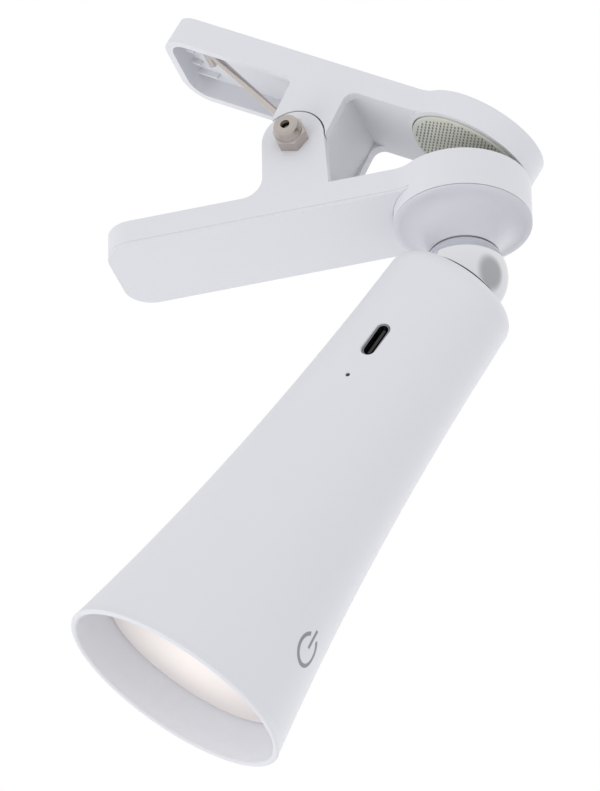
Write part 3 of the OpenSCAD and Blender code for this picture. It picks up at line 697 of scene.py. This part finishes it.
@dataclass
class Clip(Assembly):
    """The spring clip: two arms, their grip pads, the hinge hardware and the spring.

    leg_gaps_mm, ends_mm and their like give the lower leg first and the upper one second.
    """

    pin_mm: Point = (-36.9, 13.7)
    tilt_deg: float = 31.4
    reach_mm: float = 35.9
    disc_under_mm: float = 15.6
    arm_round_mm: float = 0.5
    cover_round_mm: float = 0.25
    steel_round_mm: float = 0.16
    pad_radius_mm: float = 14.6
    pad_proud_mm: float = 0.6
    pad_thick_mm: float = 2.0
    pad_round_mm: float = 0.35
    pad_face_mm: float = -0.03
    dash_margin_mm: float = 0.5
    dash_sink_mm: float = 0.025
    dash_lean_deg: float = -24.0
    wire_mm: float = 1.8
    coil_mm: float = 3.4
    coil_side_mm: float = 5.9
    coil_gap_mm: float = 0.4
    coil_turns: int = 5
    roof_mm: float = 19.9
    leg_mm: float = 38.8
    leg_slope_deg: float = 24.0
    leg_start_deg: float = -60.0
    leg_gaps_mm: Point = (0.1, 0.05)
    bend_mm: float = 1.4
    ends_mm: Point = (6.0, 7.2)
    arm_top_mm: float = -0.6

    @property
    def pin(self) -> Matrix:
        """The middle of the hinge pin."""
        return Matrix.Translation((self.pin_mm[0] * MM, 0.0, self.pin_mm[1] * MM))

    @property
    def arm_axes(self) -> Matrix:
        """The upper arm's own axes, origin on the hinge pin."""
        return self.pin @ Matrix.Rotation(math.radians(self.tilt_deg), 4, "Y")

    def build(self) -> None:
        """Build the clip's visible pieces."""
        soft, steel = self.arm_round_mm, self.steel_round_mm
        self.softened("lower_arm", "lower_arm_shell", "clip_plastic", "clip_base", soft)
        self.softened("arm_cover", "underside_cover", "cover_plastic", "clip_base",
                      self.cover_round_mm)
        self.softened("upper_arm", "upper_arm_shell", "clip_plastic", "upper_jaw", soft)
        self.softened("hinge_nut", "lock_nut", "nut_steel", "clip_base", steel, 2)
        self.softened("hinge_bolt", "pin_bolt", "bolt_steel", "clip_base", steel, 2)
        self.grip_pads()
        self.spring_coil()
        self.upper_leg()

    def grip_pads(self) -> None:
        """Make both rubber pads, each a soft-edged disc with its dashes."""
        flip = Matrix.Rotation(math.pi, 4, "X")
        under = self.disc_under_mm - self.pad_proud_mm
        above = self.arm_axes @ Matrix.Translation((self.reach_mm * MM, 0, under * MM)) @ flip
        places = {"lower": ("clip_base", Matrix.Identity(4)), "upper": ("upper_jaw", above)}
        r, t, soft, face = self.pad_radius_mm, self.pad_thick_mm, self.pad_round_mm, self.pad_face_mm
        rounded = arc((r - soft, face - soft), soft, 90, 0, 5)
        profile = [(0.0, face)] + rounded + [(r, -t), (0.0, -t)]
        sunk = Matrix.Translation((0, 0, -self.dash_sink_mm * MM))
        lean = Matrix.Rotation(math.radians(self.dash_lean_deg), 4, "Z")
        for side, (body, place) in places.items():
            pad = self.shop.turned(f"{side}_pad_rubber", profile, self.rack["grip_rubber"], place, 96)
            self.hand_in(pad, body, "grip_rubber", f"{side}_grip_pad")
            # the dashes wear the dark finish of painted shade
            dashes = self.shop.dashes(f"{side}_pad_dashes", r - self.dash_margin_mm,
                                      self.rack["grip_dash"], place @ sunk @ lean)
            self.hand_in(dashes, body, "grip_rubber")

    def _leg_end(self, tip: Vector, along: Vector, side: Vector, length: float) -> list[Vector]:
        """Round the wire from its leg into its short bent end."""
        bend = self.bend_mm
        centre = tip - along * bend + side * bend
        points = [centre - side * bend * math.cos(turn) + along * bend * math.sin(turn)
                  for turn in spaced(0, math.pi / 2, 6)]
        return points + [points[-1] + side * (length - bend)]

    def spring_coil(self) -> None:
        """Draw the coil with its lower leg, which rests on the lower arm."""
        slope, r, wire = math.radians(self.leg_slope_deg), self.coil_mm, self.wire_mm
        end = math.radians(360 * self.coil_turns + self.leg_start_deg - self.tilt_deg)
        turns = spaced(slope - math.pi / 2, end, 240)
        sides = spaced(self.coil_side_mm, -self.coil_side_mm + wire + self.coil_gap_mm, 240)
        coil = [Vector((r * math.cos(turn), y, r * math.sin(turn))) for turn, y in zip(turns, sides)]
        clear = self.arm_top_mm + wire / 2 + self.leg_gaps_mm[0]
        drop = self.pin_mm[1] - clear - r * math.cos(slope)
        along = Vector((-math.cos(slope), 0, -math.sin(slope)))
        tip = coil[0] + along * (drop / math.sin(slope))
        foot = self._leg_end(tip, along, Vector((0, -1, 0)), self.ends_mm[0])
        piece = self.shop.wire("spring_coil_wire", foot[::-1] + coil, wire / 2,
                               self.rack["spring_steel"], self.pin)
        self.hand_in(piece, "clip_base", "spring_steel", "torsion_spring")

    def upper_leg(self) -> None:
        """Draw the leg that turns with the upper arm and presses under its handle."""
        r, side = self.coil_mm, -self.coil_side_mm
        rise = self.roof_mm - self.wire_mm / 2 - self.leg_gaps_mm[1]
        first = math.radians(self.leg_start_deg)
        leaves = math.atan2(rise, -self.leg_mm) - math.acos(r / math.hypot(self.leg_mm, rise))
        ring = [Vector((r * math.cos(turn), side, r * math.sin(turn)))
                for turn in spaced(first, leaves, 24)]
        tip = Vector((-self.leg_mm, side, rise))
        along = (tip - ring[-1]).normalized()
        path = ring + self._leg_end(tip, along, Vector((0, 1, 0)), self.ends_mm[1])
        piece = self.shop.wire("spring_leg_wire", path, self.wire_mm / 2,
                               self.rack["spring_steel"], self.arm_axes)
        self.hand_in(piece, "upper_jaw", "spring_steel", "spring_leg")


@dataclass
class BallJoint(Assembly):
    """The flared neck, the mirror ball and the socket in the head's top, coloured near black as painted
    shade for the narrow gap round the ball.
    """

    disc_under_mm: float = -10.6
    disc_radius_mm: float = 16.0
    drop_mm: float = 15.24
    ball_mm: float = 10.0
    neck_radius_mm: float = 8.1
    neck_drop_mm: float = 9.1
    flare_inset_mm: float = 0.8
    flare_drop_mm: float = 0.9
    rim_round_mm: float = 0.12
    seat_top_deg: float = 75.0
    seam_gap_mm: float = 0.05
    seam_inset_mm: float = 0.2
    seam_round_mm: float = 0.3
    seam_drop_mm: float = 0.36
    gap_mm: float = 0.3
    head_tilt_deg: float = 35.0
    head_swivel_deg: float = 2.9
    head_top_mm: float = 3.15
    cup_mm: float = 11.5
    cup_gap_mm: float = 0.1
    cup_deep_mm: float = 9.0
    cup_round_mm: float = 0.3
    bowl_end_deg: float = -53.0
    lip_mm: Point = (10.6, 1.1)
    lip_round_mm: float = 0.15

    @property
    def ball_place(self) -> Matrix:
        """The ball's centre."""
        return Matrix.Translation((0.0, 0.0, (self.disc_under_mm - self.drop_mm) * MM))

    @property
    def head_axes(self) -> Matrix:
        """The lamp head's own axes: the ball's centre, with the head running down -Z."""
        turn = Matrix.Rotation(math.radians(self.head_swivel_deg), 4, "Z")
        return self.ball_place @ turn @ Matrix.Rotation(math.radians(self.head_tilt_deg), 4, "Y")

    def build(self) -> None:
        """Build the neck, ball and socket."""
        self.neck()
        self.ball()
        self.socket()

    def neck(self) -> None:
        """Turn the neck: its seam edge, its hollow flare, a fine rim and the seat round the ball."""
        upright = Matrix.Translation((0.0, 0.0, self.disc_under_mm * MM))
        disc, foot, fine = self.disc_radius_mm, -self.neck_drop_mm, self.rim_round_mm
        wide = disc - self.flare_inset_mm
        inward, rise = wide - self.neck_radius_mm, self.neck_drop_mm - self.flare_drop_mm
        flare = [(wide - inward * math.sin(t), foot + rise * math.cos(t))
                 for t in spaced(0, math.pi / 2, 40)]
        rim = arc((self.neck_radius_mm - fine, foot + fine), fine, 0, -90, 4)
        seat_r, centre = self.ball_mm + self.gap_mm, -self.drop_mm
        low = math.asin((foot - centre) / seat_r)
        seat = [(seat_r * math.cos(t), centre + seat_r * math.sin(t))
                for t in spaced(low, math.radians(self.seat_top_deg), 12)]
        edge = [(disc - self.seam_inset_mm, -self.seam_gap_mm)]
        edge += arc((disc - self.seam_round_mm, -self.seam_drop_mm), self.seam_round_mm, 80, -60, 8)
        # the flare starts past its first two points, which lie inside the rounded seam edge
        profile = [(seat[-1][0], -self.seam_gap_mm)] + edge + flare[2:-1] + rim + seat
        piece = self.shop.turned("flared_neck", profile, self.rack["neck_plastic"], upright, 160, True)
        self.hand_in(piece, "clip_base", "neck_plastic", "neck")

    def ball(self) -> None:
        """Turn the ball from a half circle."""
        circle = [(self.ball_mm * math.sin(t), self.ball_mm * math.cos(t))
                  for t in spaced(0, math.pi, 72)]
        piece = self.shop.turned("mirror_ball", circle, self.rack["ball_chrome"], self.ball_place, 144)
        self.hand_in(piece, "ball_swivel", "ball_chrome", "pivot_ball")

    def socket(self) -> None:
        """Turn the socket: a cup with a thin lip round a bowl that fits the ball."""
        top, seat_r = -self.head_top_mm - self.cup_gap_mm, self.ball_mm + self.gap_mm
        bottom, lip_top = -self.head_top_mm - self.cup_deep_mm, -self.head_top_mm + self.lip_mm[1]
        low = math.asin(lip_top / seat_r)
        bowl = [(seat_r * math.cos(t), seat_r * math.sin(t))
                for t in spaced(low, math.radians(self.bowl_end_deg), 16)]
        soft, fine = self.cup_round_mm, self.lip_round_mm
        profile = arc((self.cup_mm - soft, top - soft), soft, 0, 90, 5) + [(self.lip_mm[0], top)]
        profile += arc((self.lip_mm[0] - fine, lip_top - fine), fine, 0, 90, 4)
        profile += bowl + [(bowl[-1][0], bottom), (self.cup_mm, bottom)]
        piece = self.shop.turned("socket_bowl", profile, self.rack["socket_plastic"],
                                 self.head_axes, 128, True)
        self.hand_in(piece, "socket", "socket_plastic", "socket_cup")


@dataclass
class LampHead(Assembly):
    """The flared head: its shell, charging slot, touch mark and diffuser.

    Distances named s run from the head's top towards its mouth. flare_mm holds the first, second
    and third power of the flare, bar_mm the bar's half width, foot and length, and crown_mm the
    radius and the height of the diffuser's crown.
    """

    axes: Matrix = field(default_factory=Matrix)
    length_mm: float = 118.4
    top_radius_mm: float = 15.58
    flare_mm: tuple[float, float, float] = (3.94, 6.56, 1.75)
    top_drop_mm: float = 3.15
    wall_mm: float = 1.6
    plate_mm: float = 2.6
    edge_mm: float = 4.0
    lip_mm: float = 0.8
    hole_mm: float = 11.58
    hole_round_mm: float = 0.3
    recess_mm: float = 9.6
    crown_mm: Point = (22.0, 1.4)
    sheet_mm: float = 2.0
    sheet_gap_mm: float = 0.15
    sheet_round_mm: float = 0.3
    slot_mm: Point = (9.3, 3.5)
    slot_lip_mm: float = 0.35
    slot_flange_mm: tuple[float, float, float] = (0.5, 1.0, 2.4)
    slot_at_mm: float = 27.3
    light_at_mm: float = 38.5
    light_radius_mm: float = 0.55
    tool_mm: Point = (10.0, 30.0)
    mark_up_mm: float = 21.0
    mark_turn_deg: float = 6.8
    mark_gap_deg: float = 27.0
    mark_ring_mm: Point = (3.15, 4.1)
    bar_mm: tuple[float, float, float] = (0.45, 0.4, 4.7)
    ink_mm: Point = (0.02, -0.25)

    def radius(self, s: float) -> float:
        """Radius of the head's outer surface at a distance from its top, in millimetres."""
        t = s / self.length_mm
        a, b, c = self.flare_mm
        return self.top_radius_mm + a * t + b * t * t + c * t * t * t

    def down(self, s: float) -> float:
        """Turn a distance from the head's top into a height in its own axes."""
        return -self.top_drop_mm - s

    def build(self) -> None:
        """Build the head's visible pieces."""
        self.shell()
        self.slot_lip()
        self.mark()
        self.opal()

    def _shell_profile(self) -> list[Point]:
        """Outline of the shell's wall, from the hole in its top round the mouth and back."""
        soft, edge = self.hole_round_mm, self.edge_mm
        profile = [(self.hole_mm, self.down(soft))]
        profile += arc((self.hole_mm + soft, self.down(soft)), soft, 180, 90, 4)[1:]
        profile += arc((self.radius(edge) - edge, self.down(edge)), edge, 90, 6, 14)
        last = self.length_mm - self.lip_mm
        profile += [(self.radius(s), self.down(s)) for s in spaced(edge + self.lip_mm, last, 56)]
        lip_r = self.radius(self.length_mm) - self.lip_mm
        profile += arc((lip_r, self.down(last)), self.lip_mm, 0, -180, 12)[1:]
        profile += [(self.radius(s) - self.wall_mm, self.down(s))
                    for s in spaced(self.length_mm - self.wall_mm, self.plate_mm, 48)]
        return profile + [(self.hole_mm, self.down(self.plate_mm))]

    def shell(self) -> None:
        """Turn the shell, then cut the charging slot and the pinhole through its -Y side."""
        piece = self.shop.turned("head_shell_skin", self._shell_profile(), self.rack["head_plastic"],
                                 Matrix.Identity(4), 192, True)
        length, width = (side + 2 * self.slot_lip_mm for side in self.slot_mm)
        slot = prism("slot_tool", stadium(length, width), *self.tool_mm,
                     lambda x, y, h: Vector((x, -h, self.down(self.slot_at_mm) + y)) * MM)
        hole = prism("pinhole_tool", arc((0, 0), self.light_radius_mm, 0, 345, 23), *self.tool_mm,
                     lambda x, y, h: Vector((x, -h, self.down(self.light_at_mm) + y)) * MM)
        carve(piece, [slot, hole])
        tidy(piece.data)
        piece.data.transform(self.axes)
        self.hand_in(piece, "lamp_head", "head_plastic", "head_shell")

    def slot_lip(self) -> None:
        """Make the rounded edge that runs from the shell's surface into the charging slot."""
        length, width = self.slot_mm
        lip, (flange, shallow, deep) = self.slot_lip_mm, self.slot_flange_mm
        rings = [(lip * (1 - math.sin(q)), lip * (1 - math.cos(q))) for q in spaced(0, math.pi / 2, 6)]
        rings += [(0.0, shallow), (0.0, deep), (flange, deep), (lip, deep / 2)]
        points: list[Vector] = []
        for out, depth in rings:
            for x, y in stadium(length + 2 * out, width + 2 * out):
                s = self.slot_at_mm - y
                r = self.radius(s)
                points.append(Vector((x, -math.sqrt(r * r - x * x) + depth, self.down(s))) * MM)
        count = len(points) // len(rings)
        faces = []
        for k in range(len(rings)):
            here, there = k * count, (k + 1) % len(rings) * count
            faces += [(here + i, here + (i + 1) % count, there + (i + 1) % count, there + i)
                      for i in range(count)]
        mesh = mesh_of("charging_slot_lip", points, (), faces)
        tidy(mesh)
        mesh.materials.append(self.rack["head_plastic"])
        mesh.transform(self.axes)
        self.hand_in(new_piece("charging_slot_lip", mesh), "lamp_head", "head_plastic")

    def _on_side(self, across: float, up: float, proud: float) -> Vector:
        """Place a point of the flat mark on the shell's +X side.

        Args:
            across: Millimetres along +Y from the mark's middle.
            up: Millimetres towards the head's top.
            proud: Height above the shell, in millimetres.

        Returns:
            The point in metres, in the head's axes.
        """
        s = self.length_mm - self.mark_up_mm - up
        r = self.radius(s) + proud
        return Vector((math.sqrt(r * r - across * across), across, self.down(s))) * MM

    def mark(self) -> None:
        """Print the touch mark: a broken ring and a bar, as two thin patches on the shell."""
        gap, (inside, outside) = self.mark_gap_deg, self.mark_ring_mm
        half, foot, length = self.bar_mm
        ring = [((inside * math.cos(turn), inside * math.sin(turn)),
                 (outside * math.cos(turn), outside * math.sin(turn)))
                for turn in map(math.radians, spaced(90 + gap, 450 - gap, 64))]
        bar = [((half, up), (-half, up)) for up in spaced(foot, foot + length, 12)]
        points: list[Vector] = []
        faces: list[tuple[int, ...]] = []
        for strip in (ring, bar):
            first = len(points)
            for low, high in strip:
                for proud in self.ink_mm:
                    points += [self._on_side(*low, proud), self._on_side(*high, proud)]
            for i in range(len(strip) - 1):
                a, b = first + 4 * i, first + 4 * i + 4
                faces += [(a, a + 1, b + 1, b), (a + 2, b + 2, b + 3, a + 3),
                          (a, b, b + 2, a + 2), (a + 1, a + 3, b + 3, b + 1)]
            z = first + 4 * (len(strip) - 1)
            faces += [(first, first + 2, first + 3, first + 1), (z, z + 1, z + 3, z + 2)]
        mesh = mesh_of("touch_mark_print", points, (), faces)
        tidy(mesh)
        mesh.materials.append(self.rack["mark_ink"])
        mesh.transform(self.axes @ Matrix.Rotation(math.radians(-self.mark_turn_deg), 4, "Z"))
        self.hand_in(new_piece("touch_mark_print", mesh), "lamp_head", "mark_ink", "power_mark")

    def opal(self) -> None:
        """Turn the diffuser, a slightly crowned opal sheet set back inside the mouth."""
        s = self.length_mm - self.recess_mm
        front, back = self.down(s), self.down(s) + self.sheet_mm
        rim = self.radius(s - self.sheet_mm) - self.wall_mm - self.sheet_gap_mm
        reach, crown = self.crown_mm
        face = [(reach * q, front - crown * (1 - q * q)) for q in spaced(0, 1, 24)]
        profile = face + [(rim - self.sheet_round_mm, front), (rim, front + self.sheet_round_mm),
                          (rim, back), (0.0, back)]
        piece = self.shop.turned("opal_diffuser", profile, self.rack["diffuser"], self.axes, 128)
        self.hand_in(piece, "lamp_head", "diffuser", "diffuser")


# ---------------------------------------------------------------- studio


@dataclass(frozen=True)
class SoftPanel:
    """A broad soft light panel that faces the lamp; its place and size are in metres."""

    name: str
    place: tuple[float, float, float]
    size: Point
    watts: float


PANELS = (
    SoftPanel("back_panel", (0.0, 1.6, 0.3), (1.4, 1.4), 16.0),
    SoftPanel("left_under_panel", (-1.1, -0.6, -1.1), (1.2, 1.2), 8.0),
    SoftPanel("right_panel", (1.6, -0.5, 0.0), (1.4, 1.4), 3.0),
)


@dataclass
class Studio:
    """A white sweep, broad soft lights and the camera.

    dark_floor and dark_side say how polished parts see the room: the two steps of its direction
    between which it changes, downwards and to the right, and the share of light that is left there.
    """

    camera_mm: tuple[float, float, float] = (395.5, -1449.2, -1084.7)
    forward: tuple[float, float, float] = (-0.2375, 0.7905, 0.5645)
    upward: tuple[float, float, float] = (0.1799, -0.5353, 0.8253)
    lens_mm: float = 365.4
    floor_mm: float = -3500.0
    floor_half_m: float = 6.0
    room: float = 0.92
    dark_floor: tuple[float, float, float] = (-0.95, -0.35, 0.25)
    dark_side: tuple[float, float, float] = (0.68, 0.92, 0.55)
    middle: tuple[float, float, float] = (-0.03, 0.0, -0.06)

    def camera(self) -> None:
        """Make the camera and look through it."""
        data = bpy.data.cameras.new("studio_camera")
        data.lens = self.lens_mm
        data.sensor_width = 36.0
        data.clip_start, data.clip_end = 0.05, 50.0
        eye = bpy.data.objects.new("studio_camera", data)
        back = -Vector(self.forward).normalized()
        up = (Vector(self.upward) - back * Vector(self.upward).dot(back)).normalized()
        right = up.cross(back)
        turn = Matrix((right, up, back)).transposed().to_4x4()
        eye.matrix_world = Matrix.Translation(Vector(self.camera_mm) * MM) @ turn
        bpy.context.scene.collection.objects.link(eye)
        bpy.context.scene.camera = eye

    def hang(self, panel: SoftPanel) -> None:
        """Hang a soft light panel that faces the lamp."""
        data = bpy.data.lights.new(panel.name, "AREA")
        data.shape = "RECTANGLE"
        data.size, data.size_y = panel.size
        data.energy = panel.watts
        lamp = bpy.data.objects.new(panel.name, data)
        place = Vector(panel.place)
        turn = (place - Vector(self.middle)).to_track_quat("Z", "Y").to_matrix().to_4x4()
        lamp.matrix_world = Matrix.Translation(place) @ turn
        lamp.visible_glossy = False
        bpy.context.scene.collection.objects.link(lamp)

    def surroundings(self) -> bpy.types.World:
        """Make the pale room: white behind the lamp, a soft grey gradient for its light."""
        world = bpy.data.worlds.new("white_studio")
        world.use_nodes = True
        tree = world.node_tree
        tree.nodes.clear()
        path = add_node(tree, "ShaderNodeLightPath")
        way = add_node(tree, "ShaderNodeSeparateXYZ", None,
                       {0: add_node(tree, "ShaderNodeTexCoord").outputs["Object"]})
        share = add_node(tree, "ShaderNodeMapRange", {"From Min": -1.0, "From Max": 1.0},
                         {"Value": way.outputs[2]})
        room = add_node(tree, "ShaderNodeMix",
                        {"data_type": "RGBA", 6: to_linear("#F1F1F3"), 7: to_linear("#FFFFFF")},
                        {0: share.outputs[0]})
        # what polished parts mirror: a darker studio below, and a soft dark patch on the right
        near, far, least = self.dark_floor
        floor = add_node(tree, "ShaderNodeMapRange",
                         {"From Min": near, "From Max": far, "To Min": least, "To Max": 1.0,
                          "interpolation_type": "SMOOTHSTEP"}, {"Value": way.outputs[2]})
        near, far, least = self.dark_side
        side = add_node(tree, "ShaderNodeMapRange",
                        {"From Min": near, "From Max": far, "To Min": 1.0, "To Max": least,
                         "interpolation_type": "SMOOTHSTEP"}, {"Value": way.outputs[0]})
        dim = add_node(tree, "ShaderNodeMath", {"operation": "MULTIPLY"},
                       {0: floor.outputs[0], 1: side.outputs[0]})
        dulled = add_node(tree, "ShaderNodeMath", {"operation": "MULTIPLY", 1: self.room},
                          {0: dim.outputs[0]})
        soft = add_node(tree, "ShaderNodeBackground", {"Strength": self.room},
                        {"Color": room.outputs[2]})
        mirrored = add_node(tree, "ShaderNodeBackground", None,
                            {"Color": room.outputs[2], "Strength": dulled.outputs[0]})
        lit = add_node(tree, "ShaderNodeMixShader", None,
                       {0: path.outputs["Is Glossy Ray"], 1: soft.outputs[0], 2: mirrored.outputs[0]})
        bright = add_node(tree, "ShaderNodeBackground", {"Color": (1, 1, 1, 1), "Strength": 1.0})
        both = add_node(tree, "ShaderNodeMixShader", None,
                        {0: path.outputs["Is Camera Ray"], 1: lit.outputs[0], 2: bright.outputs[0]})
        add_node(tree, "ShaderNodeOutputWorld", None, {"Surface": both.outputs[0]})
        return world

    def sweep(self) -> None:
        """Lay the pale floor well below the lamp."""
        half, h = self.floor_half_m, self.floor_mm * MM
        corners = [(-half, -half, h), (half, -half, h), (half, half, h), (-half, half, h)]
        floor = new_piece("studio_floor", mesh_of("studio_floor", corners, (), [(0, 1, 2, 3)]))
        cloth = MouldedPlastic("matt_white_sweep", "#F2F2F2", Sheen.MATT, grain_mm=8.0, mottle=0.01)
        floor.data.materials.append(cloth.material())

    def build(self) -> None:
        """Set the camera, floor, surroundings and lights."""
        self.camera()
        scene = bpy.context.scene
        scene.view_settings.view_transform = "Standard"
        scene.world = self.surroundings()
        self.sweep()
        for panel in PANELS:
            self.hang(panel)


def main() -> None:
    """Build the lamp and its studio."""
    logging.basicConfig(level=logging.INFO, format="%(name)s %(message)s")
    Studio().build()
    shop = NodeWorkshop()
    low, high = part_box("diffuser")
    rack = FinishRack((low + high) / 2)
    rack.dress_cad()
    clip = Clip(shop, rack)
    clip.build()
    joint = BallJoint(shop, rack)
    joint.build()
    LampHead(shop, rack, joint.head_axes).build()


if __name__ == "__main__":
    main()
